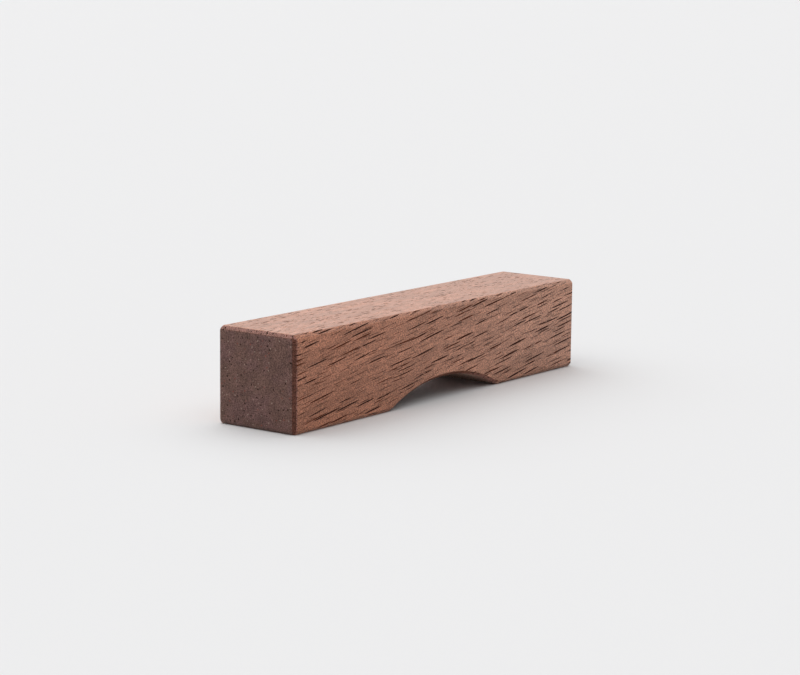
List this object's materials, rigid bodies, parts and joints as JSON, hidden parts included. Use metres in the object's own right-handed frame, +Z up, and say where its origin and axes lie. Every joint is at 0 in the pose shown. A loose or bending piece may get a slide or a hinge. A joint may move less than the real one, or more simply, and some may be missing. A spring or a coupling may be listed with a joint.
{
  "type": "chopstick rest",
  "caption": "Square bar of solid dark hardwood with a shallow arch underneath, which holds chopstick tips clear of the table.",
  "frame": {"origin": "on the table, under the middle of the bar", "axes": "+X along the bar, +Y across it from front to back, +Z up"},
  "size_m": [0.06, 0.012, 0.012],
  "materials": {
    "oiled_hardwood": "satin"
  },
  "bodies": {
    "root": {"rest_bar": "oiled_hardwood"}
  },
  "joints": []
}
